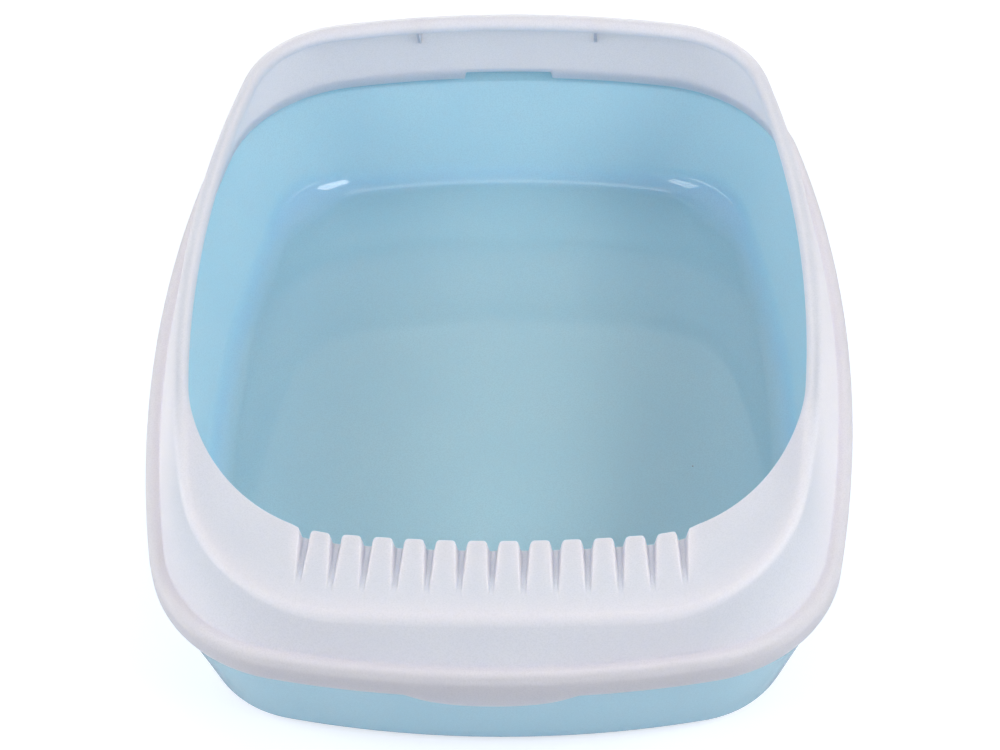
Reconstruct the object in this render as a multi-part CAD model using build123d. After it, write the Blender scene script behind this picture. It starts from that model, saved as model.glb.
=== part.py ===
from build123d import *
import math
import os

# An open-top litter box, made of two injection mouldings.
# The tub is a deep tray with drafted walls. The surround sits on the rim of the tub: an outer flange
# hides the rim, a leaning wall rises to a rolled lip, and the low front widens into a ribbed entry deck.
# Frame: millimetres, +Z up, X across, the entry at -Y, origin on the ground below the middle of the flange.
# An inset is counted inward from the outline of the flange, and a rise is counted up from its top.

# Flange, seen from above: an outline of eight arcs, bowed on all four sides
flange_width = 385.0
flange_length = 480.0
side_bow_radius = 800.0
end_bow_radius = 560.0
front_corner_radius = 85.0
back_corner_radius = 95.0

# Tub
tub_height = 82.4
tub_wall = 2.4
tub_floor = 2.6
tub_collar_height = 12.4
tub_taper_side = 20.4
tub_taper_front = 19.4
tub_taper_back = 17.0
tub_taper_corner = 26.4
tub_outer_fillet = 12.0
tub_inner_fillet = 18.0
tub_rim_round_share = 0.33
tub_clearance = 0.3

# Surround, flange
flange_face = 15.0
flange_roof = 2.6
flange_wall = 2.3
flange_edge_radius = 5.0
valley_inset = 8.2
valley_drop = 0.4

# Surround, skirt that reaches down inside the tub
skirt_gap = 1.7
skirt_wall = 2.2
skirt_depth = 9.4
notch_width = 54.8
notch_height = 5.0

# Surround, wall and its crest: level behind the bend, falling along an arc in front of it
crest_rise = 49.0
crest_inset_side = 25.5
crest_inset_front = 22.7
crest_inset_back = 22.2
crest_front_bow_radius = 1500.0
crest_front_corner = 84.0
crest_back_corner = 61.0
crest_bend_setback = 195.0
crest_fall_radius = 584.0
crest_front_radius = 9.0
crest_back_radius = 6.0
crest_face_angle = 25.0
wall_skin = 2.5

# Surround, rolled lip round the sides and the back
lip_inset_side = 28.5
lip_inset_back = 28.1
lip_corner_radius = 56.9
lip_drop = 3.2
lip_edge_radius = 1.5
lip_skin = 2.2
lip_hem = 3.7
lip_bulge_share = 0.7

# Surround, entry deck at the front, which rises along the sides into the lip
deck_length = 74.1
deck_edge_rise = 15.5
deck_side_setback = 156.0
deck_side_rise = 49.0
deck_bow_radius = 960.0
deck_corner_radius = 88.0
deck_blend = 1.5
deck_bulge_share = 0.05

# Surround, grooves between the ribs of the entry deck
rib_count = 12
rib_pitch = 15.7
rib_skin = 2.0
rib_tip_radius = 2.0
rib_pocket_start = 9.0
groove_floor_width = 3.5
groove_tail_width = 3.0
groove_depth = 8.0
groove_start = 10.5
groove_draft = 8.0
groove_fade = 16.0

# Surround, two gussets below the lip at the back
gusset_spread = 109.2
gusset_wall = 2.4
gusset_reach = 25.0
gusset_toe = 1.6
gusset_root = 1.2

# Surround, finger tab at the middle of the front
tab_width = 84.6
tab_drop = 7.2
tab_flat_share = 0.62
tab_bend_share = 0.8
tab_bend_drop_share = 0.55

# The surround's section is drawn at stations that turn about these places in the flange's right-hand half
front_pivot_share = 0.31
back_pivot_share = 0.48
back_pivot_length_share = 0.61
front_steps = 4
corner_steps = 9
side_steps = 7
back_steps = 4
beyond_steps = 2

# How far cuts run past what they cut, and how near the middle plane a face of the seam lies
overrun = 6.0
seam_tolerance = 0.05

# Places that follow from the sizes above
half_width = flange_width / 2
half_length = flange_length / 2
flange_top = tub_height + flange_roof
flange_bottom = flange_top - flange_face
crest_top = flange_top + crest_rise
face_reach_share = math.cos(math.radians(crest_face_angle))
face_drop_share = 1 - math.sin(math.radians(crest_face_angle))
crest_bend_y = crest_bend_setback - half_length
deck_edge_y = deck_length - half_length
deck_side_y = deck_side_setback - half_length
deck_edge_height = flange_top + deck_edge_rise
deck_slope = (deck_side_rise - deck_edge_rise) / (deck_side_y - deck_edge_y)
tub_inset = flange_wall + tub_clearance
skirt_out_inset = tub_inset + tub_wall + skirt_gap
skirt_in_inset = skirt_out_inset + skirt_wall
skirt_bottom = flange_top - skirt_depth
wall_foot_inset = valley_inset + wall_skin
front_pivot_x = front_pivot_share * half_width
back_pivot_x = back_pivot_share * half_width
back_pivot_y = back_pivot_length_share * half_length
groove_mouth = groove_floor_width + 2 * groove_depth * math.tan(math.radians(groove_draft))
round_share = 1 - math.sqrt(0.5)


class Plan:
    """Eight tangent arcs, symmetric across X: how far they reach and the radii of their bows and corners."""

    def __init__(self, side, front, back, side_bow, front_bow, back_bow, front_corner, back_corner):
        self.side = side
        self.front = front
        self.back = back
        self.side_bow = side_bow
        self.front_bow = front_bow
        self.back_bow = back_bow
        self.front_corner = front_corner
        self.back_corner = back_corner

    def inset(self, distance):
        return Plan(self.side - distance, self.front - distance, self.back - distance,
                    self.side_bow - distance, self.front_bow - distance, self.back_bow - distance,
                    self.front_corner - distance, self.back_corner - distance)

    def quadrant(self, at_front):
        """Centre and radius of the side, corner and end arcs of one right-hand quadrant, y counted outward."""
        end = self.front if at_front else self.back
        end_bow = self.front_bow if at_front else self.back_bow
        corner = self.front_corner if at_front else self.back_corner
        side_x = self.side - self.side_bow
        end_y = end - end_bow
        span = math.hypot(side_x, end_y)
        from_side = self.side_bow - corner
        from_end = end_bow - corner
        along = (from_side ** 2 - from_end ** 2 + span ** 2) / (2 * span)
        across = math.sqrt(from_side ** 2 - along ** 2)
        unit_x = -side_x / span
        unit_y = end_y / span
        corner_x = side_x + along * unit_x - across * unit_y
        corner_y = along * unit_y + across * unit_x
        return (side_x, 0.0, self.side_bow), (corner_x, corner_y, corner), (0.0, end_y, end_bow)

    def reach(self, x, y, angle):
        """Distance from an inner point to the outline, along a direction in the right-hand half."""
        at_front = y < 0 if angle == 0 else angle < 0
        flip = -1 if at_front else 1
        side, corner, end = self.quadrant(at_front)
        side_turn = math.atan2(corner[1], corner[0] - side[0])
        end_turn = math.atan2(corner[1] - end[1], corner[0])
        dx = math.cos(math.radians(angle))
        dy = flip * math.sin(math.radians(angle))
        for arc, first, last in ((side, -math.pi, side_turn), (corner, side_turn, end_turn)):
            length, turn = ray_to_circle(x, flip * y, dx, dy, arc)
            if first <= turn <= last:
                return length
        return ray_to_circle(x, flip * y, dx, dy, end)[0]

    def face(self):
        """The outline as a flat face on the ground plane, facing up."""
        edges = []
        for at_front in (True, False):
            flip = -1 if at_front else 1
            side, corner, end = self.quadrant(at_front)
            side_turn = math.atan2(corner[1], corner[0] - side[0])
            end_turn = math.atan2(corner[1] - end[1], corner[0])
            for mirror in (1, -1):
                edges.append(quadrant_arc(side, 0.0, side_turn, mirror, flip))
                edges.append(quadrant_arc(corner, side_turn, end_turn, mirror, flip))
                edges.append(quadrant_arc(end, end_turn, math.pi / 2, mirror, flip))
        flat = Face(Wire(edges))
        return flat if flat.normal_at().Z > 0 else -flat


def ray_to_circle(x, y, dx, dy, circle):
    """Length of a ray from an inner point to a circle, and the turn at which it lands; far off if it misses."""
    cx, cy, radius = circle
    nearest = (x - cx) * dx + (y - cy) * dy
    inside = nearest ** 2 - (x - cx) ** 2 - (y - cy) ** 2 + radius ** 2
    if inside < 0:
        return math.inf, math.inf
    length = math.sqrt(inside) - nearest
    return length, math.atan2(y - cy + length * dy, x - cx + length * dx)


def quadrant_arc(circle, start, finish, mirror, flip):
    """One arc through its ends and middle, mirrored into its own quadrant."""
    cx, cy, radius = circle
    points = []
    for turn in (start, (start + finish) / 2, finish):
        points.append((mirror * (cx + radius * math.cos(turn)), flip * (cy + radius * math.sin(turn))))
    return ThreePointArc(*points).edge()


flange_plan = Plan(half_width, half_length, half_length, side_bow_radius, end_bow_radius, end_bow_radius,
                   front_corner_radius, back_corner_radius)
crest_plan = Plan(half_width - crest_inset_side, half_length - crest_inset_front,
                  half_length - crest_inset_back, side_bow_radius - crest_inset_side,
                  crest_front_bow_radius, end_bow_radius - crest_inset_back,
                  crest_front_corner, crest_back_corner)
opening_plan = Plan(half_width - lip_inset_side, -deck_edge_y, half_length - lip_inset_back,
                    side_bow_radius - lip_inset_side, deck_bow_radius, end_bow_radius - lip_inset_back,
                    deck_corner_radius, lip_corner_radius)


def crest_height(y):
    """Height of the crest: level at the back, falling along an arc in front of the bend."""
    fall = max(crest_bend_y - y, 0.0)
    return crest_top - fall ** 2 / (2 * crest_fall_radius)


def crest_radius(y):
    """Radius of the crest: full at the front, and smaller from the sides to the back."""
    share = (y - deck_edge_y) / (deck_side_y - deck_edge_y)
    return crest_front_radius + (crest_back_radius - crest_front_radius) * min(max(share, 0.0), 1.0)


def edge_height(y):
    """Height of the opening's top edge: the deck's straight rise, blended into the lip."""
    on_deck = deck_edge_height + deck_slope * (y - deck_edge_y)
    on_lip = crest_height(y) - lip_drop
    return (on_deck + on_lip) / 2 - math.hypot((on_deck - on_lip) / 2, deck_blend)


def ribbed_depth(x, y):
    """Extra thickness under the ribs at the opening's front edge, fading out beyond the last groove."""
    if y > deck_side_y:
        return 0.0
    beyond = (x - (rib_count + 1) * rib_pitch / 2) / groove_fade
    return groove_depth * (1 + math.cos(math.pi * min(max(beyond, 0.0), 1.0))) / 2


def stations():
    """Origins and directions of the section planes, from the middle of the front to the middle of the back.

    A few lie beyond the middle at either end, so that the two halves meet smoothly."""
    places = []
    for step in range(-beyond_steps, front_steps):
        places.append((front_pivot_x * step / front_steps, deck_side_y, -90.0))
    for step in range(corner_steps):
        places.append((front_pivot_x, deck_side_y, -90.0 + 90.0 * step / corner_steps))
    for step in range(side_steps):
        places.append((back_pivot_x, deck_side_y + (back_pivot_y - deck_side_y) * step / side_steps, 0.0))
    for step in range(corner_steps):
        places.append((back_pivot_x, back_pivot_y, 90.0 * step / corner_steps))
    for step in range(back_steps + beyond_steps + 1):
        places.append((back_pivot_x * (1 - step / back_steps), back_pivot_y, 90.0))
    return places


def surround_section(x, y, angle):
    """The surround's closed section in one upright plane through an inner point."""
    dx = math.cos(math.radians(angle))
    dy = math.sin(math.radians(angle))

    def at(reach, height):
        return Vector(x + reach * dx, y + reach * dy, height)

    def out(plan, inset=0.0):
        return plan.inset(inset).reach(x, y, angle)

    crest_out = out(crest_plan)
    top = crest_height(y + crest_out * dy)
    radius = crest_radius(y + crest_out * dy)
    edge_out = out(opening_plan)
    edge_top = edge_height(y + edge_out * dy)
    foot = edge_top - lip_hem - ribbed_depth(x + edge_out * dx, y + edge_out * dy)

    flange_low = at(out(flange_plan), flange_bottom - tab_drop - overrun)
    flange_high = at(out(flange_plan), flange_top - flange_edge_radius)
    bead_mid = at(out(flange_plan, flange_edge_radius * round_share),
                  flange_top - flange_edge_radius * round_share)
    bead_top = at(out(flange_plan, flange_edge_radius), flange_top)
    valley = at(out(flange_plan, valley_inset), flange_top - valley_drop)
    shoulder_out = out(crest_plan, -radius * face_reach_share)
    shoulder = at(shoulder_out, top - radius * face_drop_share)
    crest = at(crest_out, top)
    edge_start_out = out(opening_plan, -lip_edge_radius)
    edge_start = at(edge_start_out, edge_top)
    edge_mid = at(out(opening_plan, -lip_edge_radius * round_share), edge_top - lip_edge_radius * round_share)
    edge_end = at(edge_out, edge_top - lip_edge_radius)
    edge_foot = at(edge_out, foot)
    hem_out = out(opening_plan, -lip_skin)
    hem_foot = at(hem_out, foot)

    # The top sheet is a shallow arc over the deck and a fuller one over the narrow lip
    shoulder_turn = math.radians(90 + crest_face_angle) / 2
    turn_share = math.cos(shoulder_turn) / face_reach_share
    shoulder_mid = at(crest_out + (shoulder_out - crest_out) * turn_share,
                      top - radius * (1 - math.sin(shoulder_turn)))
    lip_span = lip_inset_side - crest_inset_side
    narrow_share = min(1.0, lip_span / (crest_out - edge_start_out)) ** 2
    bulge_share = deck_bulge_share + (1 - deck_bulge_share) * narrow_share
    middle_share = 0.5 + (0.5 - round_share) * bulge_share * lip_bulge_share
    sheet_mid = at(crest_out + (edge_start_out - crest_out) * middle_share,
                   edge_top + (top - edge_top) * middle_share)
    hem_share = (hem_out - edge_out) / (crest_out - edge_out)
    hem_roof = at(hem_out, foot + lip_hem - lip_skin + (top - edge_top) * hem_share)

    wall_top = at(out(crest_plan, wall_skin - radius * face_reach_share), top - radius * face_drop_share)
    wall_foot = at(out(flange_plan, wall_foot_inset), flange_top - valley_drop)
    skirt_in = at(out(flange_plan, skirt_in_inset), skirt_bottom)
    skirt_out = at(out(flange_plan, skirt_out_inset), skirt_bottom)
    channel_in = at(out(flange_plan, skirt_out_inset), tub_height)
    channel_out = at(out(flange_plan, flange_wall), tub_height)
    flange_in = at(out(flange_plan, flange_wall), flange_bottom - tab_drop - overrun)

    return Wire([
        Edge.make_line(flange_low, flange_high),
        Edge.make_three_point_arc(flange_high, bead_mid, bead_top),
        Edge.make_line(bead_top, valley),
        Edge.make_line(valley, shoulder),
        Edge.make_three_point_arc(shoulder, shoulder_mid, crest),
        Edge.make_three_point_arc(crest, sheet_mid, edge_start),
        Edge.make_three_point_arc(edge_start, edge_mid, edge_end),
        Edge.make_line(edge_end, edge_foot),
        Edge.make_line(edge_foot, hem_foot),
        Edge.make_line(hem_foot, hem_roof),
        Edge.make_line(hem_roof, wall_top),
        Edge.make_line(wall_top, wall_foot),
        Edge.make_line(wall_foot, skirt_in),
        Edge.make_line(skirt_in, skirt_out),
        Edge.make_line(skirt_out, channel_in),
        Edge.make_line(channel_in, channel_out),
        Edge.make_line(channel_out, flange_in),
        Edge.make_line(flange_in, flange_low),
    ])


def deck_line(x):
    """Ends of the deck's slope at one place across: the crest and the opening, each as y and height."""
    crest_y = deck_side_y - crest_plan.reach(abs(x), deck_side_y, -90.0)
    edge_y = deck_side_y - opening_plan.reach(abs(x), deck_side_y, -90.0)
    return (crest_y, crest_height(crest_y)), (edge_y, edge_height(edge_y))


def on_deck(x, y):
    """Height of the deck's top surface."""
    (crest_y, crest_z), (edge_y, edge_z) = deck_line(x)
    return crest_z + (edge_z - crest_z) * (y - crest_y) / (edge_y - crest_y)


def trapezoid(x, y, z, width, height):
    """Upright four-sided wire across the deck, of this width at z, widened by the draft over its height."""
    half = width / 2
    widened = half + abs(height) * math.tan(math.radians(groove_draft))
    corners = [(x - half, z), (x + half, z), (x + widened, z + height), (x - widened, z + height)]
    return Wire.make_polygon([Vector(corner_x, y, corner_z) for corner_x, corner_z in corners])


def groove_cutter(x):
    """One groove: a floor that falls from the deck's surface to its full depth at the opening."""
    (crest_y, _), (edge_y, edge_z) = deck_line(x)
    tail_y = crest_y + groove_start
    tail_z = on_deck(x, tail_y)
    length = edge_y - tail_y
    ends = []
    for run in (0.0, length + overrun):
        share = run / length
        z = tail_z + (edge_z - groove_depth - tail_z) * share
        width = groove_tail_width + (groove_floor_width - groove_tail_width) * share
        ends.append(trapezoid(x, tail_y + run, z, width, groove_depth + overrun))
    return Solid.make_loft(ends, True)


def rib_tip_cutter(x):
    """Rounds the two rib corners beside one groove where they meet the opening."""
    _, (edge_y, edge_z) = deck_line(x)
    half = groove_mouth / 2 + rib_tip_radius
    height = groove_depth + overrun
    middle = edge_z - groove_depth + height / 2
    tool = Pos(x, edge_y + (overrun - rib_tip_radius) / 2, middle) * Box(
        2 * half, overrun + rib_tip_radius, height)
    for side in (-1, 1):
        _, (corner_y, _) = deck_line(x + side * half)
        tool -= Pos(x + side * half, corner_y - rib_tip_radius, middle) * Cylinder(
            rib_tip_radius, height + overrun)
    return tool.solid()


def rib_pocket(x):
    """The hollow below one rib, so that the moulding keeps an even wall."""
    (crest_y, _), (edge_y, _) = deck_line(x)
    width = rib_pitch - groove_mouth - 2 * rib_skin
    ends = []
    for y in (crest_y + groove_start + rib_pocket_start, edge_y - lip_skin):
        ends.append(trapezoid(x, y, on_deck(x, y) - lip_skin, width, -groove_depth - overrun))
    return Solid.make_loft(ends, True)


def notch_cutter():
    """The notch in the skirt's lower edge at the middle of the back."""
    middle_y = half_length - (skirt_in_inset + skirt_out_inset) / 2
    notch = Pos(0, middle_y, skirt_bottom + (notch_height - overrun) / 2) * Box(
        notch_width, 2 * (skirt_gap + skirt_wall), notch_height + overrun)
    return notch.solid()


def gusset(x):
    """A small fin between the wall and the hem of the lip at the back."""
    wall_high = crest_plan.inset(wall_skin - crest_back_radius * face_reach_share)
    wall_high_y = back_pivot_y + wall_high.reach(x, back_pivot_y, 90.0)
    wall_low_y = back_pivot_y + flange_plan.inset(wall_foot_inset).reach(x, back_pivot_y, 90.0)
    hem_y = back_pivot_y + opening_plan.inset(-lip_skin / 2).reach(x, back_pivot_y, 90.0)
    foot_y = wall_high_y + (wall_low_y - wall_high_y) * gusset_reach / crest_rise
    bottom = crest_top - gusset_reach
    roof = crest_top - lip_drop - lip_edge_radius
    hem_foot = crest_top - lip_drop - lip_hem + lip_edge_radius
    outline = Wire.make_polygon([
        Vector(x - gusset_wall / 2, foot_y + gusset_root, bottom),
        Vector(x - gusset_wall / 2, foot_y - gusset_toe, bottom),
        Vector(x - gusset_wall / 2, hem_y, hem_foot),
        Vector(x - gusset_wall / 2, hem_y, roof),
        Vector(x - gusset_wall / 2, wall_high_y + gusset_root, roof)])
    return Solid.extrude(Face(outline), Vector(gusset_wall, 0, 0))


def flange_trimmer():
    """Cuts the flange's wall to its height, and leaves a shallow tab reaching lower at the middle of the front."""
    depth = tab_drop + 2 * overrun
    slab = Pos(0, 0, flange_bottom - depth / 2) * Box(
        flange_width + 2 * overrun, flange_length + 2 * overrun, depth)
    half = tab_width / 2
    front_y = -half_length - 2 * overrun
    lowest = flange_bottom - tab_drop
    roof = flange_bottom + overrun
    edges = []
    for side in (-1, 1):
        edges.append(Edge.make_bezier(
            Vector(0, front_y, lowest), Vector(side * half * tab_flat_share, front_y, lowest),
            Vector(side * half * tab_bend_share, front_y, flange_bottom - tab_drop * tab_bend_drop_share),
            Vector(side * half, front_y, flange_bottom)))
        edges.append(Edge.make_line(Vector(side * half, front_y, flange_bottom),
                                    Vector(side * half, front_y, roof)))
    edges.append(Edge.make_line(Vector(-half, front_y, roof), Vector(half, front_y, roof)))
    tab = Solid.extrude(Face(Wire(edges)), Vector(0, deck_side_y - front_y, 0))
    return (slab - tab).solid()


def other_half():
    """Everything on the left of the middle plane."""
    height = 2 * crest_top
    return (Pos(-half_width, 0, 0) * Box(flange_width, flange_length + 2 * overrun, height)).solid()


def surround():
    """The white surround: its right-hand half with every feature, joined to the mirror image of its skin."""
    half = Solid.make_loft([surround_section(*place) for place in stations()])
    cutters = [other_half(), flange_trimmer(), notch_cutter()]
    for index in range(rib_count // 2 + 1):
        x = (index + rib_count % 2 / 2) * rib_pitch
        cutters += [groove_cutter(x), rib_tip_cutter(x)]
    for index in range(rib_count // 2 + rib_count % 2):
        cutters.append(rib_pocket((index + (rib_count + 1) % 2 / 2) * rib_pitch))
    half = half.cut(*cutters).solid()
    half = half.fuse(gusset(gusset_spread / 2)).solid()
    skin = []
    for side in (half, half.mirror(Plane.YZ)):
        skin += [face for face in side.faces() if abs(face.center().X) > seam_tolerance]
    return Solid(Shell(skin))


def tub_plan(height, wall):
    """The tub's outline at a height below its collar, this wall inside the outer skin."""
    tapered = 1 - height / (tub_height - tub_collar_height)
    inset = tub_inset + wall
    side = inset + tub_taper_side * tapered
    front = inset + tub_taper_front * tapered
    back = inset + tub_taper_back * tapered
    corner = inset + tub_taper_corner * tapered
    return Plan(half_width - side, half_length - front, half_length - back, side_bow_radius - side,
                end_bow_radius - front, end_bow_radius - back,
                front_corner_radius - corner, back_corner_radius - corner)


def tray(wall, foot, foot_fillet):
    """A solid tray shape: an upright collar over drafted walls, with a rounded foot."""
    collar_bottom = tub_height - tub_collar_height
    collar_face = Pos(0, 0, collar_bottom) * tub_plan(collar_bottom, wall).face()
    foot_face = Pos(0, 0, foot) * tub_plan(foot, wall).face()
    whole = extrude(collar_face, tub_collar_height) + Solid.make_loft(
        [foot_face.outer_wire(), collar_face.outer_wire()], True)
    return fillet(whole.edges().group_by(Axis.Z)[0], foot_fillet)


def tub():
    """The blue tub, open at the top."""
    shell = tray(0, 0, tub_outer_fillet) - tray(tub_wall, tub_floor, tub_inner_fillet)
    return fillet(shell.edges().group_by(Axis.Z)[-1], tub_rim_round_share * tub_wall)


def main():
    os.makedirs("parts", exist_ok=True)
    export_step(tub(), "parts/tub.step")
    export_step(surround(), "parts/surround.step")


main()
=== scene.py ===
import math

import bmesh
import bpy
from mathutils import Matrix, Vector


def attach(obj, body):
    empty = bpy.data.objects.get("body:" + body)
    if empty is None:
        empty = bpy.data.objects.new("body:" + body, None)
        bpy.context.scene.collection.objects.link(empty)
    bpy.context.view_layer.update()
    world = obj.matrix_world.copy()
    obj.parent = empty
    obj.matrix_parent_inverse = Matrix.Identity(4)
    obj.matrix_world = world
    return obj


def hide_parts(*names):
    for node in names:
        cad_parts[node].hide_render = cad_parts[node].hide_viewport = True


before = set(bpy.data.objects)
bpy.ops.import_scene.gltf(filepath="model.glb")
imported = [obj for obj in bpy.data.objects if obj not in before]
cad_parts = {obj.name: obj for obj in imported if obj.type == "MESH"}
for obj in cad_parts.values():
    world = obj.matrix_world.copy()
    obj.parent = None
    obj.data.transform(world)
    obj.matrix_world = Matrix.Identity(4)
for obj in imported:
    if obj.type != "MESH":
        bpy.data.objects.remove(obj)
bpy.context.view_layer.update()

# The sizes of the shapes are in millimetres and degrees; a mesh is scaled to metres when it is made. Most
# of them are the CAD part's. Some rounds, the crest's front, the grooves and the gussets differ, mostly to
# come closer to the photograph.
mm = 0.001

# Flange, seen from above: an outline of eight arcs, bowed on all four sides
flange_width = 385.0
flange_length = 480.0
side_bow_radius = 800.0
end_bow_radius = 560.0
front_corner_radius = 85.0
back_corner_radius = 95.0

# Tub
tub_height = 82.4
tub_wall = 2.4
tub_floor = 2.6
tub_collar_height = 12.4
tub_taper_side = 20.4
tub_taper_front = 19.4
tub_taper_back = 17.0
tub_taper_corner = 26.4
tub_outer_fillet = 12.0
tub_inner_fillet = 18.0
tub_corner_fillet = 32.0
tub_core_share = 0.08
tub_rim_round = 1.1
tub_clearance = 0.3
tub_bend_radius = 4.0

# Surround, flange
flange_face = 15.0
flange_roof = 2.6
flange_wall = 2.3
flange_bead_radius = 5.5
valley_inset = 8.2
valley_drop = 0.4
valley_radius = 1.6
small_round = 0.6

# Surround, skirt that reaches down inside the tub
skirt_gap = 1.7
skirt_wall = 2.2
skirt_depth = 9.4
skirt_bend_radius = 6.0
notch_width = 54.8
notch_height = 5.0
notch_round = 0.8

# Surround, wall and its crest: level behind the bend, falling along an arc in front of it
crest_rise = 49.0
crest_inset_side = 25.5
crest_inset_front = 22.4
crest_inset_back = 22.2
crest_front_bow_radius = 1500.0
crest_front_corner = 84.0
crest_back_corner = 61.0
crest_bend_setback = 195.0
crest_fall_radius = 584.0
crest_front_radius = 6.5
crest_back_radius = 6.0
crest_face_angle = 25.0
wall_skin = 2.5

# Surround, rolled lip round the sides and the back
lip_inset_side = 28.5
lip_inset_back = 28.1
lip_corner_radius = 56.9
lip_drop = 3.2
lip_edge_radius = 1.5
lip_skin = 2.2
lip_hem = 3.7

# Surround, entry deck at the front, which rises along the sides into the lip
deck_length = 74.1
deck_edge_rise = 15.5
deck_side_setback = 156.0
deck_side_rise = 49.0
deck_bow_radius = 960.0
deck_corner_radius = 88.0
deck_blend = 1.5

# Surround, grooves between the ribs of the entry deck
rib_count = 12
rib_pitch = 15.7
rib_skin = 2.0
rib_tip_radius = 2.0
groove_mouth = 7.2
groove_tail = 3.6
groove_depth = 8.0
groove_start = 10.8
groove_soft_start_share = 0.06
groove_fade = 16.0
groove_step_shares = (0.2, 0.38, 0.48, 0.55, 0.61, 0.67, 0.73, 0.79, 0.85, 0.92, 1.0)
groove_foot_share = 0.34
groove_brow_share = 0.88
groove_brow_depth_share = 0.12
rib_step_shares = (0.06, 0.13, 0.21, 0.33, 0.5, 0.67, 0.79, 0.87, 0.94)

# Surround, two gussets below the lip at the back
gusset_spread = 109.2
gusset_wall = 2.4
gusset_reach = 22.0
gusset_toe = 1.6
gusset_root = 1.2

# Surround, finger tab at the middle of the front
tab_width = 84.6
tab_drop = 7.2
tab_flat_share = 0.62
tab_bend_share = 0.8
tab_bend_drop_share = 0.55
tab_halvings = 24

# Directions of the sections, in degrees
quarter_turn = 90.0
front_angle = -quarter_turn
side_angle = 0.0
back_angle = quarter_turn

# Where the sections turn, and how many there are on each stretch
front_pivot_x = (rib_count + 1) * rib_pitch / 2
back_pivot_share = 0.48
back_pivot_length_share = 0.61
corner_steps = 48
side_steps = 40
back_steps = 18
notch_step_shares = (-1.0, -0.5, 0.0, 0.5, 1.0)

# How finely a section is drawn, and the most of an edge that one of its rounds may take
sheet_steps = 26
underside_steps = 8
face_shares = (1 / 3, 2 / 3, 1.0)
round_steps = 6
crest_steps = 8
tub_foot_steps = 12
tub_fillet_steps = 18
bend_steps = 3
small_steps = 2
hidden_steps = 1
round_limit_share = 0.45

# Places that follow from the sizes above
half_width = flange_width / 2
half_length = flange_length / 2
flange_top = tub_height + flange_roof
flange_bottom = flange_top - flange_face
crest_top = flange_top + crest_rise
crest_bend_y = crest_bend_setback - half_length
deck_edge_y = deck_length - half_length
deck_side_y = deck_side_setback - half_length
deck_edge_height = flange_top + deck_edge_rise
deck_slope = (deck_side_rise - deck_edge_rise) / (deck_side_y - deck_edge_y)
lip_span = lip_inset_back - crest_inset_back
tub_inset = flange_wall + tub_clearance
skirt_out_inset = tub_inset + tub_wall + skirt_gap
skirt_in_inset = skirt_out_inset + skirt_wall
skirt_bottom = flange_top - skirt_depth
back_pivot_x = back_pivot_share * half_width
back_pivot_y = back_pivot_length_share * half_length
groove_floor_height = deck_edge_height - groove_depth

# Camera, as fitted to the photograph: metres, degrees and pixels of a 1000 x 750 image
camera_azimuth = 2.53
camera_elevation = 46.537
camera_roll = -1.813
camera_distance = 1.1274
camera_target = Vector((0.001, -0.0524, 0.1))
focal_pixels = 2104.96
image_width_pixels = 1000
sensor_width_mm = 36.0

# Table top: metres
table_radius = 1.0
table_steps = 96
table_gap = 0.0004
table_colour = (0.62, 0.64, 0.69)
table_roughness = 0.9
table_glow = 0.55

# White, and the opacity that is added to a colour where a node takes four numbers
plain_white = (1.0, 1.0, 1.0)
opaque = (1.0,)

# Light from all round, and the softboxes: place, aim and size in metres, watts, and colour
cool_white = (0.91, 0.95, 1.0)
sky_colour = (0.97, 0.98, 1.0)
sky_strength = 0.2
softboxes = {
    "top_softbox": ((0.0, 0.25, 1.6), (0.0, 0.0, 0.05), (1.0, 1.0), 4.4, plain_white),
    "right_high_softbox": ((0.85, -0.5, 0.95), (0.0, 0.0, 0.05), (0.75, 0.36), 6.2, plain_white),
    "right_low_softbox": ((1.3, -0.15, 0.4), (0.0, 0.0, 0.08), (1.2, 0.5), 3.9, plain_white),
    "left_high_softbox": ((-0.85, -0.5, 0.95), (0.0, 0.0, 0.05), (0.75, 0.36), 3.4, plain_white),
    "left_low_softbox": ((-1.3, -0.15, 0.4), (0.0, 0.0, 0.08), (1.2, 0.5), 6.6, plain_white),
    "front_low_softbox": ((0.0, -1.4, 0.25), (0.0, 0.0, 0.05), (1.5, 0.3), 2.7, cool_white),
    "back_softbox": ((0.0, 1.5, 0.45), (0.0, 0.1, 0.08), (1.8, 0.7), 9.5, plain_white)}

# Plastics: colours, roughness, depths of the grain and the waves, and how far each colour of light spreads
# inside, all lengths in millimetres
white_colour = (0.90, 0.825, 0.875)
white_shade = (0.88, 0.805, 0.855)
white_roughness = (0.42, 0.5)
white_grain_depth = 0.03
white_wave_depth = 0.01
white_scatter_colour = (1.05, 1.0, 0.85)
white_scatter_depth = 8.0
gusset_scatter_colour = (1.0, 1.0, 1.0)
gusset_scatter_depth = 0.5
blue_colour = (0.515, 0.79, 0.965)
blue_shade = (0.49, 0.77, 0.95)
blue_roughness = (0.01, 0.03)
blue_grain_depth = 0.001
blue_wave_depth = 0.003
blue_scatter_colour = (1.4, 1.05, 1.0)
blue_scatter_depth = 5.3

# Both plastics: sizes of the grain, waves, mottling, smears and dust in millimetres, with how much fine
# detail each noise has and the part of its range that is used
fleck_tone = 0.95
dust_colour = (0.28, 0.30, 0.34)
grain_size = 0.8
grain_detail = 2.0
grain_range = (0.4, 0.65)
wave_size = 38.0
wave_detail = 1.0
mottle_size = 55.0
mottle_detail = 3.0
mottle_range = (0.35, 0.65)
smear_size = 22.0
smear_detail = 4.0
smear_range = (0.35, 0.65)
whole_range = (0.0, 1.0)
dust_spacing = 34.0
dust_size = 0.9
dust_share = 0.3
# Painted highlight on convex edges: the range of pointiness that takes it, and how much lighter it makes the
# colour
edge_pointiness = (0.52, 0.62)
edge_lightness = 1.03


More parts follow.
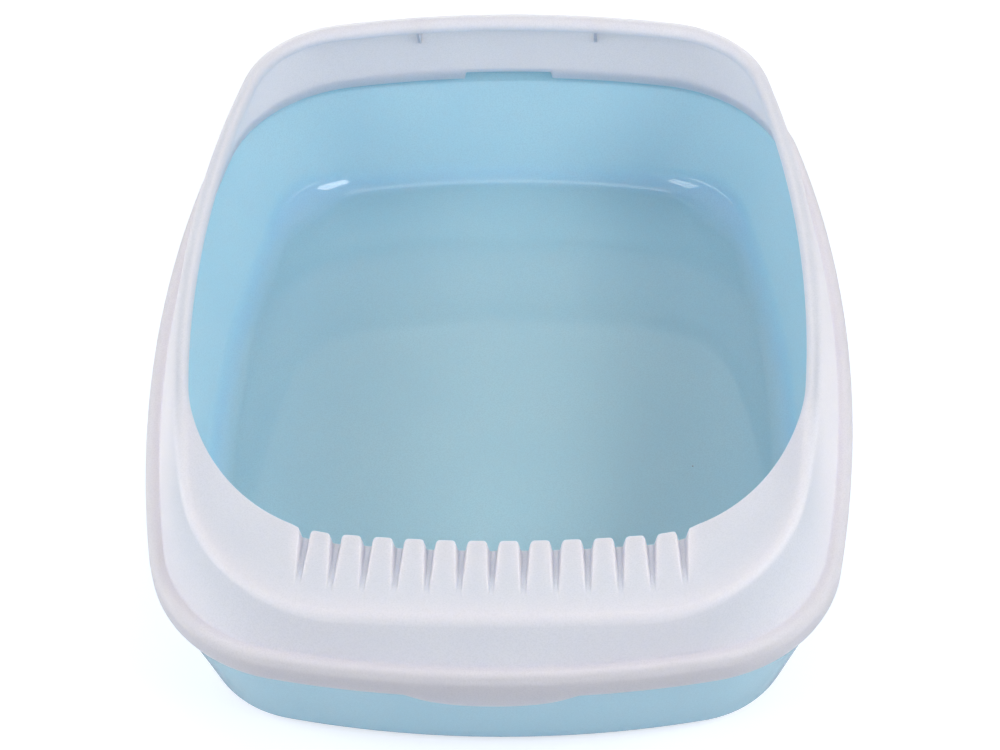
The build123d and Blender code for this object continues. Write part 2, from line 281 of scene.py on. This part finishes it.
class Plan:
    """Eight tangent arcs, symmetric across X: how far they reach and the radii of their bows and corners."""

    def __init__(self, side, front, back, side_bow, front_bow, back_bow, front_corner, back_corner):
        self.side = side
        self.front = front
        self.back = back
        self.side_bow = side_bow
        self.front_bow = front_bow
        self.back_bow = back_bow
        self.front_corner = front_corner
        self.back_corner = back_corner

    def inset(self, distance):
        return Plan(self.side - distance, self.front - distance, self.back - distance,
                    self.side_bow - distance, self.front_bow - distance, self.back_bow - distance,
                    self.front_corner - distance, self.back_corner - distance)

    def quadrant(self, at_front):
        """Centre and radius of a right-hand quadrant's side, corner and end arcs, y counted outward."""
        end = self.front if at_front else self.back
        end_bow = self.front_bow if at_front else self.back_bow
        corner = self.front_corner if at_front else self.back_corner
        side_x = self.side - self.side_bow
        end_y = end - end_bow
        span = math.hypot(side_x, end_y)
        from_side = self.side_bow - corner
        from_end = end_bow - corner
        along = (from_side ** 2 - from_end ** 2 + span ** 2) / (2 * span)
        across = math.sqrt(from_side ** 2 - along ** 2)
        unit_x = -side_x / span
        unit_y = end_y / span
        corner_x = side_x + along * unit_x - across * unit_y
        corner_y = along * unit_y + across * unit_x
        return (side_x, 0.0, self.side_bow), (corner_x, corner_y, corner), (0.0, end_y, end_bow)

    def reach(self, x, y, angle):
        """Distance from an inner point to the outline, along a direction in the right-hand half."""
        at_front = y < 0 if angle == 0 else angle < 0
        flip = -1 if at_front else 1
        side, corner, end = self.quadrant(at_front)
        side_turn = math.atan2(corner[1], corner[0] - side[0])
        end_turn = math.atan2(corner[1] - end[1], corner[0])
        dx = math.cos(math.radians(angle))
        dy = flip * math.sin(math.radians(angle))
        for arc, first, last in ((side, -math.pi, side_turn), (corner, side_turn, end_turn)):
            length, turn = ray_to_circle(x, flip * y, dx, dy, arc)
            if first <= turn <= last:
                return length
        return ray_to_circle(x, flip * y, dx, dy, end)[0]


def ray_to_circle(x, y, dx, dy, circle):
    """Length of a ray from an inner point to a circle, and the turn where it lands; far off if it misses."""
    cx, cy, radius = circle
    nearest = (x - cx) * dx + (y - cy) * dy
    inside = nearest ** 2 - (x - cx) ** 2 - (y - cy) ** 2 + radius ** 2
    if inside < 0:
        return math.inf, math.inf
    length = math.sqrt(inside) - nearest
    return length, math.atan2(y - cy + length * dy, x - cx + length * dx)


flange_plan = Plan(half_width, half_length, half_length, side_bow_radius, end_bow_radius, end_bow_radius,
                   front_corner_radius, back_corner_radius)
crest_plan = Plan(half_width - crest_inset_side, half_length - crest_inset_front,
                  half_length - crest_inset_back, side_bow_radius - crest_inset_side,
                  crest_front_bow_radius, end_bow_radius - crest_inset_back,
                  crest_front_corner, crest_back_corner)
opening_plan = Plan(half_width - lip_inset_side, -deck_edge_y, half_length - lip_inset_back,
                    side_bow_radius - lip_inset_side, deck_bow_radius, end_bow_radius - lip_inset_back,
                    deck_corner_radius, lip_corner_radius)


def clamp(value):
    return min(max(value, 0.0), 1.0)


def ease(start, finish, value):
    """0 before the start, 1 after the finish, and smooth between them."""
    share = clamp((value - start) / (finish - start))
    return share * share * (3 - 2 * share)


def crest_height(y):
    """Height of the crest: level at the back, falling along an arc in front of the bend."""
    fall = max(crest_bend_y - y, 0.0)
    return crest_top - fall ** 2 / (2 * crest_fall_radius)


def crest_radius(y):
    """Radius of the crest: full at the front, and smaller from the sides to the back."""
    share = clamp((y - deck_edge_y) / (deck_side_y - deck_edge_y))
    return crest_front_radius + (crest_back_radius - crest_front_radius) * share


def edge_height(y):
    """Height of the opening's top edge: the deck's straight rise, blended into the lip."""
    on_deck = deck_edge_height + deck_slope * (y - deck_edge_y)
    on_lip = crest_height(y) - lip_drop
    return (on_deck + on_lip) / 2 - math.hypot((on_deck - on_lip) / 2, deck_blend)


def ribbed_depth(x, y):
    """Extra depth of the hem under the ribs at the front edge, fading out beyond the last groove."""
    if y > deck_side_y:
        return 0.0
    beyond = clamp((x - front_pivot_x) / groove_fade)
    return groove_depth * (1 + math.cos(math.pi * beyond)) / 2


def tab_edge(x):
    """Height of the flange's lower edge at the front, with the finger tab's soft outline."""
    half = tab_width / 2
    if abs(x) >= half:
        return flange_bottom

    # The edge is a curve that runs with t; halving finds the t whose reach across is x
    low, high = 0.0, 1.0
    for _ in range(tab_halvings):
        t = (low + high) / 2
        across = 3 * t * (1 - t) ** 2 * tab_flat_share + 3 * t * t * (1 - t) * tab_bend_share + t ** 3
        if across * half < abs(x):
            low = t
        else:
            high = t
    drop = (1 - t) ** 3 + 3 * t * (1 - t) ** 2 + 3 * t * t * (1 - t) * tab_bend_drop_share
    return flange_bottom - tab_drop * drop


def notch_edge(x):
    """Height of the skirt's lower edge at the back, with the notch at its middle."""
    half = notch_width / 2
    return skirt_bottom + notch_height * (1 - ease(half - notch_round, half + notch_round, abs(x)))


def rounded(corners):
    """Points of a closed outline of (across, up, radius, steps) corners, each rounded by an exact arc."""
    points = []
    count = len(corners)
    for index, (across, up, radius, steps) in enumerate(corners):
        if steps == 0:
            points.append((across, up))
            continue
        here = Vector((across, up))
        before = Vector(corners[index - 1][:2]) - here
        after = Vector(corners[(index + 1) % count][:2]) - here
        turn = before.angle(after, math.pi / 2)
        setback = min(radius / math.tan(turn / 2), round_limit_share * min(before.length, after.length))
        start = here + before.normalized() * setback
        finish = here + after.normalized() * setback
        weight = math.sin(turn / 2)
        for step in range(steps + 1):
            t = step / steps
            pull = 2 * t * (1 - t) * weight
            total = (1 - t) ** 2 + pull + t * t
            point = ((1 - t) ** 2 * start + pull * here + t * t * finish) / total
            points.append((point.x, point.y))
    return points


class Place:
    """One section of the surround: where it stands, what the grooves do to it, and where its edges lie."""

    def __init__(self, x, y, angle, mouth_x=None, groove=0.0, under=0.0, tip=0.0):
        self.x = x
        self.y = y
        self.angle = angle
        self.mouth_x = x if mouth_x is None else mouth_x
        self.groove = groove
        self.under = under
        self.tip = tip
        self.dx = math.cos(math.radians(angle))
        self.dy = math.sin(math.radians(angle))
        self.crest_out = self.out(crest_plan)
        self.crest_top = crest_height(y + self.crest_out * self.dy)
        self.crest_radius = crest_radius(y + self.crest_out * self.dy)
        self.tip_out = opening_plan.reach(self.mouth_x, y, angle) + tip
        self.edge_out = self.tip_out - tip
        self.edge_top = edge_height(y + self.edge_out * self.dy)
        deepening = ribbed_depth(x + self.edge_out * self.dx, y + self.edge_out * self.dy)
        self.foot = self.edge_top - lip_hem - deepening
        span = self.crest_out - self.edge_out
        self.lip_share = min(1.0, lip_span / span) ** 2
        self.slope = (self.crest_top - self.edge_top) / span
        self.tilt = (1 - self.lip_share) * math.atan(self.slope)
        self.tail_out = self.crest_out - groove_start

    def out(self, plan, inset=0.0):
        """How far an outline, set inward, reaches from here."""
        return plan.inset(inset).reach(self.x, self.y, self.angle)

    def run(self, reach):
        """Share of the way from the grooves' tails to the opening's edge, at a reach."""
        return clamp((self.tail_out - reach) / (self.tail_out - self.edge_out))

    def depth_at(self, reach, fullness):
        """How deep a groove of this fullness is, at a reach."""
        run = self.run(reach)
        soft = run * run * (1 + groove_soft_start_share) / (run + groove_soft_start_share)
        return groove_depth * fullness * soft


def groove_profile(share):
    """How deep a groove is, as a share, at a share of its half width: flat floor, steep side, soft brow."""
    side = 1 - ease(groove_foot_share, groove_brow_share, share)
    brow = 1 - ease(groove_brow_share / 2, 1.0, share)
    return (1 - groove_brow_depth_share) * side + groove_brow_depth_share * brow


def tip_setback(from_side):
    """How far a rib's rounded tip stays behind the straight edge, at a distance from the rib's side."""
    inside = clamp(1 - from_side / rib_tip_radius)
    return rib_tip_radius * (1 - math.sqrt(1 - inside ** 2))


def rib_place(groove_x, side, share, rib_share=0.0):
    """A section at a share of a groove's half width, or at a share of the rib next to it."""
    tail_half, mouth_half = groove_tail / 2, groove_mouth / 2
    tail = share * tail_half + rib_share * (rib_pitch - 2 * tail_half)
    mouth = share * mouth_half + rib_share * (rib_pitch - 2 * mouth_half)
    nearest = min(mouth, rib_pitch - mouth)
    wall = groove_brow_share * mouth_half
    tip = tip_setback(nearest - wall) if nearest > wall else rib_tip_radius * ease(
        groove_foot_share, (groove_foot_share + groove_brow_share) / 2, nearest / mouth_half)
    groove = groove_profile(nearest / mouth_half)
    under = groove_profile(nearest / (mouth_half + rib_skin))
    return Place(groove_x + side * tail, deck_side_y, front_angle, groove_x + side * mouth,
                 groove, under, tip)


def corner_and_side_places():
    """Where sections stand from the front corner along the side to the back corner: x, y and direction."""
    places = []
    for step in range(corner_steps):
        places.append((front_pivot_x, deck_side_y, front_angle + quarter_turn * step / corner_steps))
    for step in range(side_steps):
        share = step / side_steps
        places.append((front_pivot_x + (back_pivot_x - front_pivot_x) * share,
                       deck_side_y + (back_pivot_y - deck_side_y) * share, side_angle))
    for step in range(corner_steps):
        places.append((back_pivot_x, back_pivot_y, side_angle + quarter_turn * step / corner_steps))
    return places


def surround_places():
    """Sections from the middle of the front to the middle of the back, along the right-hand half."""
    places = [rib_place(0.0, 1, 0.0)]
    for index in range(rib_count // 2 + 1):
        groove_x = index * rib_pitch
        if index > 0:
            places += [rib_place(groove_x, -1, share) for share in reversed(groove_step_shares)]
            places.append(rib_place(groove_x, 1, 0.0))
        places += [rib_place(groove_x, 1, share) for share in groove_step_shares]
        if index < rib_count // 2:
            places += [rib_place(groove_x, 1, 1.0, share) for share in rib_step_shares]
    places += [Place(*place) for place in corner_and_side_places()]
    across = [back_pivot_x * (1 - step / back_steps) for step in range(back_steps + 1)]
    across += [notch_width / 2 + notch_round * share for share in notch_step_shares]
    places += [Place(x, back_pivot_y, back_angle) for x in sorted(across, reverse=True)]
    return places


def flange_corners(place):
    """The flange's face, its round edge, and the valley at the foot of the wall."""
    low = tab_edge(place.x) if place.angle == front_angle else flange_bottom
    corners = [(place.out(flange_plan, flange_wall), low, small_round, small_steps),
               (place.out(flange_plan), low, small_round, small_steps)]
    for step in range(2 * round_steps + 1):
        turn = math.pi / 4 * step / round_steps
        corners.append((place.out(flange_plan, flange_bead_radius * (1 - math.cos(turn))),
                        flange_top - flange_bead_radius * (1 - math.sin(turn)), 0.0, 0))
    corners.append((place.out(flange_plan, valley_inset), flange_top - valley_drop,
                    valley_radius, round_steps))
    return corners


def crest_corners(place):
    """The crest's round, which starts at the leaning wall and ends along the sheet's slope."""
    start = math.radians(crest_face_angle)
    finish = math.pi / 2 + place.tilt
    corners = []
    for step in range(crest_steps + 1):
        turn = start + (finish - start) * step / crest_steps
        corners.append((place.crest_out + place.crest_radius * math.cos(turn),
                        place.crest_top - place.crest_radius * (1 - math.sin(turn)), 0.0, 0))
    return corners


def sheet_corners(place, begin_out, begin_top):
    """The sheet's top: the narrow lip is one round, and the wide deck a slope with a rounded edge."""
    lip_across = begin_out - place.tip_out
    lip_down = begin_top - place.edge_top + lip_edge_radius
    bend_out = place.tip_out + lip_edge_radius
    bend_top = place.edge_top + place.slope * lip_edge_radius
    bend_down = lip_edge_radius * (1 + place.slope)
    corners = []
    for step in range(1, sheet_steps + round_steps + 1):
        on_sheet = min(step / sheet_steps, 1.0)
        on_edge = max(step - sheet_steps, 0) / round_steps
        lip_turn = math.pi / 4 * (on_sheet + on_edge)
        bend_turn = math.pi / 2 * on_edge
        lip_point = (begin_out - lip_across * math.sin(lip_turn),
                     begin_top - lip_down * (1 - math.cos(lip_turn)))
        deck_point = (begin_out + (bend_out - begin_out) * on_sheet - lip_edge_radius * math.sin(bend_turn),
                      begin_top + (bend_top - begin_top) * on_sheet - bend_down * (1 - math.cos(bend_turn)))
        across, up = (place.lip_share * lip + (1 - place.lip_share) * deck
                      for lip, deck in zip(lip_point, deck_point))
        corners.append((across, up - place.depth_at(across, place.groove), 0.0, 0))
    return corners


def hem_corners(place, face_top):
    """The face of the opening's edge and its hem; a rib's rounded tip ends at the floor of the grooves."""
    shelf = min(groove_floor_height - 2 * lip_edge_radius, face_top - lip_edge_radius / 2)
    at_front = place.angle == front_angle
    drop = shelf - face_top if at_front else (place.foot + small_round - face_top) / 2
    corners = []
    for share in face_shares:
        tip = place.tip if share < 1 else 0.0
        corners.append((place.edge_out + tip, face_top + drop * share, 0.0, 0))
    corners.append((place.edge_out, place.foot, small_round, small_steps))
    corners.append((place.edge_out + lip_skin, place.foot, small_round, small_steps))
    return corners


def underside_corners(place):
    """The underside, which follows the sheet, is hollow below the ribs, and comes down inside the wall."""
    start = math.radians(crest_face_angle)
    hem_out = place.edge_out + lip_skin
    inner_out = place.out(crest_plan, wall_skin - place.crest_radius * math.cos(start))
    inner_top = place.crest_top - place.crest_radius * (1 - math.sin(start))
    corners = []
    for step in range(underside_steps + 1):
        share = step / underside_steps
        across = hem_out + (inner_out - hem_out) * share
        roof = place.edge_top + place.slope * (across - place.edge_out) - lip_skin
        roof = roof + (inner_top - roof) * share ** 3
        corners.append((across, roof - place.depth_at(across, place.under), 0.0, 0))
    corners.append((place.out(flange_plan, valley_inset + wall_skin), flange_top - valley_drop,
                    skirt_bend_radius, bend_steps))
    return corners


def skirt_corners(place):
    """The skirt inside the tub, and the flange's roof over the tub's rim."""
    low = notch_edge(place.x) if place.angle == back_angle else skirt_bottom
    skirt_out = place.out(flange_plan, skirt_out_inset)
    return [(place.out(flange_plan, skirt_in_inset), low, small_round, small_steps),
            (skirt_out, low, small_round, small_steps),
            (skirt_out, tub_height, small_round, hidden_steps),
            (place.out(flange_plan, flange_wall), tub_height, small_round, hidden_steps)]


def surround_section(place):
    """The surround's closed section at one place, as points in millimetres."""
    outline = flange_corners(place) + crest_corners(place)
    outline += sheet_corners(place, *outline[-1][:2])
    outline += hem_corners(place, outline[-1][1])
    outline += underside_corners(place) + skirt_corners(place)
    points = []
    for across, up in rounded(outline):
        drift = (place.mouth_x - place.x) * place.run(across)
        points.append((place.x + drift + across * place.dx, place.y + across * place.dy, up))
    return points


def tub_plan(height, wall):
    """The tub's outline at a height below its collar, this wall inside the outer skin."""
    tapered = 1 - height / (tub_height - tub_collar_height)
    inset = tub_inset + wall
    side = inset + tub_taper_side * tapered
    front = inset + tub_taper_front * tapered
    back = inset + tub_taper_back * tapered
    corner = inset + tub_taper_corner * tapered
    return Plan(half_width - side, half_length - front, half_length - back, side_bow_radius - side,
                end_bow_radius - front, end_bow_radius - back,
                front_corner_radius - corner, back_corner_radius - corner)


def tub_places():
    """Sections of the tub from the middle of the front to the middle of the back."""
    places = [(front_pivot_x * step / back_steps, deck_side_y, front_angle) for step in range(back_steps)]
    places += corner_and_side_places()
    places += [(back_pivot_x * (1 - step / back_steps), back_pivot_y, back_angle)
               for step in range(back_steps + 1)]
    return places


def tub_section(x, y, angle):
    """The tub's section at one place, from near the middle of its underside over the rim to its floor."""
    dx = math.cos(math.radians(angle))
    dy = math.sin(math.radians(angle))
    collar = tub_height - tub_collar_height

    # The round at the floor is largest in the middle of a back corner
    corner_share = math.sin(math.radians(2 * max(angle, 0.0))) ** 2
    fillet = tub_inner_fillet + (tub_corner_fillet - tub_inner_fillet) * corner_share

    def out(height, wall):
        return tub_plan(height, wall).reach(x, y, angle)

    corners = [
        (tub_core_share * out(0.0, 0.0), 0.0, 0.0, 0),
        (out(0.0, 0.0), 0.0, tub_outer_fillet, tub_foot_steps),
        (out(collar, 0.0), collar, tub_bend_radius, bend_steps),
        (out(collar, 0.0), tub_height, tub_rim_round, bend_steps),
        (out(collar, tub_wall), tub_height, tub_rim_round, bend_steps),
        (out(collar, tub_wall), collar, tub_bend_radius, bend_steps),
        (out(tub_floor, tub_wall), tub_floor, fillet, tub_fillet_steps),
        (tub_core_share * out(tub_floor, tub_wall), tub_floor, 0.0, 0)]
    return [(x + across * dx, y + across * dy, up) for across, up in rounded(corners)]


def ring_mesh(name, sections, closed):
    """A mesh of a right-hand run of sections and its mirror image, joined all the way round."""
    mirrored = [[(-x, y, z) for x, y, z in section] for section in sections[-2:0:-1]]
    sections = sections + mirrored
    length = len(sections[0])
    vertices = [(x * mm, y * mm, z * mm) for section in sections for x, y, z in section]
    faces = []
    for index in range(len(sections)):
        here = index * length
        there = (index + 1) % len(sections) * length
        for step in range(length if closed else length - 1):
            after = (step + 1) % length
            faces.append((here + step, there + step, there + after, here + after))
    if not closed:
        count = len(vertices)
        for centre, edge in ((count, 0), (count + 1, length - 1)):
            vertices.append((0.0, 0.0, vertices[edge][2]))
            for start in range(0, count, length):
                faces.append((centre, start + edge, (start + length) % count + edge))
    mesh = bpy.data.meshes.new(name)
    mesh.from_pydata(vertices, [], faces)
    mesh.polygons.foreach_set("use_smooth", [True] * len(mesh.polygons))
    mesh.validate()
    return mesh


def gusset_mesh(side):
    """A small fin between the wall and the hem of the lip at the back, with softened edges."""
    x = side * gusset_spread / 2
    wall_high = crest_plan.inset(wall_skin - crest_back_radius * math.cos(math.radians(crest_face_angle)))
    wall_high_y = back_pivot_y + wall_high.reach(abs(x), back_pivot_y, back_angle)
    wall_low = flange_plan.inset(valley_inset + wall_skin)
    wall_low_y = back_pivot_y + wall_low.reach(abs(x), back_pivot_y, back_angle)
    hem_y = back_pivot_y + opening_plan.inset(-lip_skin / 2).reach(abs(x), back_pivot_y, back_angle)
    foot_y = wall_high_y + (wall_low_y - wall_high_y) * gusset_reach / crest_rise
    bottom = crest_top - gusset_reach
    roof = crest_top - lip_drop - lip_edge_radius
    hem_foot = crest_top - lip_drop - lip_hem + lip_edge_radius
    outline = [(foot_y + gusset_root, bottom), (foot_y - gusset_toe, bottom), (hem_y, hem_foot),
               (hem_y, roof), (wall_high_y + gusset_root, roof)]
    vertices = []
    for across in (x - gusset_wall / 2, x + gusset_wall / 2):
        vertices += [(across * mm, y * mm, z * mm) for y, z in outline]
    count = len(outline)
    faces = [tuple(range(count)), tuple(range(2 * count - 1, count - 1, -1))]
    for index in range(count):
        after = (index + 1) % count
        faces.append((index, after, after + count, index + count))
    mesh = bpy.data.meshes.new("gusset")
    mesh.from_pydata(vertices, [], faces)
    shape = bmesh.new()
    shape.from_mesh(mesh)
    bmesh.ops.bevel(shape, geom=shape.edges[:], offset=small_round * mm, segments=small_steps,
                    affect="EDGES")
    shape.to_mesh(mesh)
    shape.free()
    return mesh


def piece(name, meshes, material, node):
    """One object made of these meshes, which stands for a CAD node and moves with it."""
    shape = bmesh.new()
    for mesh in meshes:
        shape.from_mesh(mesh)
    bmesh.ops.recalc_face_normals(shape, faces=shape.faces[:])
    for face in shape.faces:
        face.smooth = True
    whole = bpy.data.meshes.new(name)
    shape.to_mesh(whole)
    shape.free()
    whole.materials.append(material)
    obj = bpy.data.objects.new(name, whole)
    bpy.context.scene.collection.objects.link(obj)
    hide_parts(node)
    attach(obj, node)


def add_camera():
    azimuth = math.radians(camera_azimuth)
    elevation = math.radians(camera_elevation)
    roll = math.radians(camera_roll)
    back = Vector((math.sin(azimuth) * math.cos(elevation), -math.cos(azimuth) * math.cos(elevation),
                   math.sin(elevation)))
    level = Vector((math.cos(azimuth), math.sin(azimuth), 0.0))
    upright = back.cross(level)
    right = math.cos(roll) * level + math.sin(roll) * upright
    up = math.cos(roll) * upright - math.sin(roll) * level
    data = bpy.data.cameras.new("camera")
    data.sensor_width = sensor_width_mm
    data.lens = focal_pixels * sensor_width_mm / image_width_pixels
    camera = bpy.data.objects.new("camera", data)
    bpy.context.scene.collection.objects.link(camera)
    turn = Matrix((right, up, back)).transposed().to_4x4()
    camera.matrix_world = Matrix.Translation(camera_target + camera_distance * back) @ turn
    bpy.context.scene.camera = camera


def add_area(name, place, aim, size, watts, colour):
    data = bpy.data.lights.new(name, "AREA")
    data.shape = "RECTANGLE"
    data.size = size[0]
    data.size_y = size[1]
    data.energy = watts
    data.color = colour
    lamp = bpy.data.objects.new(name, data)
    lamp.location = place
    lamp.rotation_euler = (Vector(aim) - Vector(place)).to_track_quat("-Z", "Y").to_euler()
    bpy.context.scene.collection.objects.link(lamp)


def white_to_camera(tree, shader, surface):
    """Shows plain white to the camera, glossy and transmitted rays, and the given shader to the rest."""
    nodes, links = tree.nodes, tree.links
    path = nodes.new("ShaderNodeLightPath")
    shown = path.outputs["Is Camera Ray"]
    for ray in ("Is Transmission Ray", "Is Glossy Ray"):
        either = nodes.new("ShaderNodeMath")
        either.operation = "MAXIMUM"
        links.new(shown, either.inputs[0])
        links.new(path.outputs[ray], either.inputs[1])
        shown = either.outputs[0]
    white = nodes.new("ShaderNodeBackground")
    white.inputs["Color"].default_value = plain_white + opaque
    white.inputs["Strength"].default_value = 1.0
    mix = nodes.new("ShaderNodeMixShader")
    links.new(shown, mix.inputs["Fac"])
    links.new(shader, mix.inputs[1])
    links.new(white.outputs[0], mix.inputs[2])
    links.new(mix.outputs[0], surface)


def add_world():
    world = bpy.data.worlds.new("studio")
    world.use_nodes = True
    bpy.context.scene.world = world
    tree = world.node_tree
    soft = tree.nodes["Background"]
    soft.inputs["Color"].default_value = sky_colour + opaque
    soft.inputs["Strength"].default_value = sky_strength
    white_to_camera(tree, soft.outputs[0], tree.nodes["World Output"].inputs["Surface"])


def add_floor():
    """A round white table top that keeps the tub's soft shadow, and ends inside the ring of low lamps."""
    corners = []
    for step in range(table_steps):
        turn = 2 * math.pi * step / table_steps
        corners.append((table_radius * math.cos(turn), table_radius * math.sin(turn), -table_gap))
    mesh = bpy.data.meshes.new("table_top")
    mesh.from_pydata(corners, [], [tuple(range(table_steps))])
    table = bpy.data.objects.new("table_top", mesh)
    bpy.context.scene.collection.objects.link(table)
    material = bpy.data.materials.new("table_white")
    material.use_nodes = True
    tree = material.node_tree
    shader = tree.nodes["Principled BSDF"]
    shader.inputs["Base Color"].default_value = table_colour + opaque
    shader.inputs["Roughness"].default_value = table_roughness
    shader.inputs["Specular IOR Level"].default_value = 0.0
    glow = tree.nodes.new("ShaderNodeEmission")
    glow.inputs["Color"].default_value = plain_white + opaque
    glow.inputs["Strength"].default_value = table_glow
    path = tree.nodes.new("ShaderNodeLightPath")
    lit = tree.nodes.new("ShaderNodeMixShader")
    both = tree.nodes.new("ShaderNodeAddShader")
    tree.links.new(shader.outputs[0], both.inputs[0])
    tree.links.new(glow.outputs[0], both.inputs[1])
    tree.links.new(path.outputs["Is Camera Ray"], lit.inputs["Fac"])
    tree.links.new(shader.outputs[0], lit.inputs[1])
    tree.links.new(both.outputs[0], lit.inputs[2])
    tree.links.new(lit.outputs[0], tree.nodes["Material Output"].inputs["Surface"])
    mesh.materials.append(material)


def noise(tree, size, detail):
    """A noise that is fixed to the piece, with features of about this many millimetres."""
    place = tree.nodes.new("ShaderNodeTexCoord")
    texture = tree.nodes.new("ShaderNodeTexNoise")
    texture.inputs["Scale"].default_value = 1 / (size * mm)
    texture.inputs["Detail"].default_value = detail
    tree.links.new(place.outputs["Object"], texture.inputs["Vector"])
    return texture.outputs["Fac"]


def spread(tree, value, source, target):
    """Maps one range of a value onto another, and holds it within that."""
    ranger = tree.nodes.new("ShaderNodeMapRange")
    for name, number in zip(("From Min", "From Max", "To Min", "To Max"), source + target):
        ranger.inputs[name].default_value = number
    tree.links.new(value, ranger.inputs["Value"])
    return ranger.outputs["Result"]


def blend(tree, share, first, second):
    """Mixes two colours, each a plain one or a node's output, by a share."""
    mix = tree.nodes.new("ShaderNodeMix")
    mix.data_type = "RGBA"
    tree.links.new(share, mix.inputs["Factor"])

    # The node has one A, B and Result for each kind of data; these are the ones for colours
    for socket, colour in ((mix.inputs[6], first), (mix.inputs[7], second)):
        if isinstance(colour, bpy.types.NodeSocket):
            tree.links.new(colour, socket)
        else:
            socket.default_value = colour + opaque
    return mix.outputs[2]


def below(tree, value, limit):
    """1 where a value is below a limit, and 0 elsewhere."""
    test = tree.nodes.new("ShaderNodeMath")
    test.operation = "LESS_THAN"
    test.inputs[1].default_value = limit
    tree.links.new(value, test.inputs[0])
    return test.outputs[0]


def dust(tree):
    """1 on a few tiny specks that lie scattered over the piece, and 0 elsewhere."""
    place = tree.nodes.new("ShaderNodeTexCoord")
    cells = tree.nodes.new("ShaderNodeTexVoronoi")
    cells.inputs["Scale"].default_value = 1 / (dust_spacing * mm)
    tree.links.new(place.outputs["Object"], cells.inputs["Vector"])
    channels = tree.nodes.new("ShaderNodeSeparateColor")
    tree.links.new(cells.outputs["Color"], channels.inputs["Color"])
    both = tree.nodes.new("ShaderNodeMath")
    both.operation = "MULTIPLY"
    tree.links.new(below(tree, cells.outputs["Distance"], dust_size / 2 / dust_spacing), both.inputs[0])
    tree.links.new(below(tree, channels.outputs["Red"], dust_share), both.inputs[1])
    return both.outputs[0]


def relief(tree, height, depth, under=None):
    """Bumps of this many millimetres, on top of another relief if there is one."""
    bump = tree.nodes.new("ShaderNodeBump")
    bump.inputs["Distance"].default_value = depth * mm
    tree.links.new(height, bump.inputs["Height"])
    if under is not None:
        tree.links.new(under, bump.inputs["Normal"])
    return bump.outputs["Normal"]


def plastic(name, colour, shade, roughness, grain_depth, wave_depth, scatter_colour, scatter_depth):
    """Moulded plastic: a fine grain on soft waves, faint mottling, a painted highlight that lightens convex
    edges, and a little dust.
    """
    material = bpy.data.materials.new(name)
    material.use_nodes = True
    tree = material.node_tree
    shader = tree.nodes["Principled BSDF"]
    shader.inputs["Subsurface Weight"].default_value = 1.0
    shader.inputs["Subsurface Radius"].default_value = scatter_colour
    shader.inputs["Subsurface Scale"].default_value = scatter_depth * mm

    mottle = spread(tree, noise(tree, mottle_size, mottle_detail), mottle_range, whole_range)
    speckle = spread(tree, noise(tree, grain_size, grain_detail), grain_range, whole_range)
    fleck = tuple(channel * fleck_tone for channel in shade)
    body = blend(tree, speckle, blend(tree, mottle, colour, shade), fleck)
    # Convex edges are painted lighter, a painted highlight
    pointiness = tree.nodes.new("ShaderNodeNewGeometry").outputs["Pointiness"]
    edge_highlight_share = spread(tree, pointiness, edge_pointiness, whole_range)
    edged = blend(tree, edge_highlight_share, body, tuple(min(1.0, channel * edge_lightness) for channel in colour))
    tree.links.new(blend(tree, dust(tree), edged, dust_colour), shader.inputs["Base Color"])

    smear = spread(tree, noise(tree, smear_size, smear_detail), smear_range, roughness)
    tree.links.new(smear, shader.inputs["Roughness"])
    waves = relief(tree, noise(tree, wave_size, wave_detail), wave_depth)
    grain = relief(tree, noise(tree, grain_size, grain_detail), grain_depth, waves)
    tree.links.new(grain, shader.inputs["Normal"])
    return material


add_camera()
add_world()
add_floor()
for name, settings in softboxes.items():
    add_area(name, *settings)

blue_plastic = plastic("tub_plastic", blue_colour, blue_shade, blue_roughness, blue_grain_depth,
                       blue_wave_depth, blue_scatter_colour, blue_scatter_depth)
white_plastic = plastic("surround_plastic", white_colour, white_shade, white_roughness, white_grain_depth,
                        white_wave_depth, white_scatter_colour, white_scatter_depth)
gusset_plastic = plastic("gusset_plastic", white_colour, white_shade, white_roughness, white_grain_depth,
                         white_wave_depth, gusset_scatter_colour, gusset_scatter_depth)

tub_sections = [tub_section(*place) for place in tub_places()]
surround_sections = [surround_section(place) for place in surround_places()]
piece("tub_shell", [ring_mesh("tub", tub_sections, False)], blue_plastic, "tub")
piece("surround_shell", [ring_mesh("surround", surround_sections, True)], white_plastic, "surround")
piece("gusset_left", [gusset_mesh(-1)], gusset_plastic, "surround")
piece("gusset_right", [gusset_mesh(1)], gusset_plastic, "surround")

bpy.context.scene.view_settings.view_transform = "Standard"
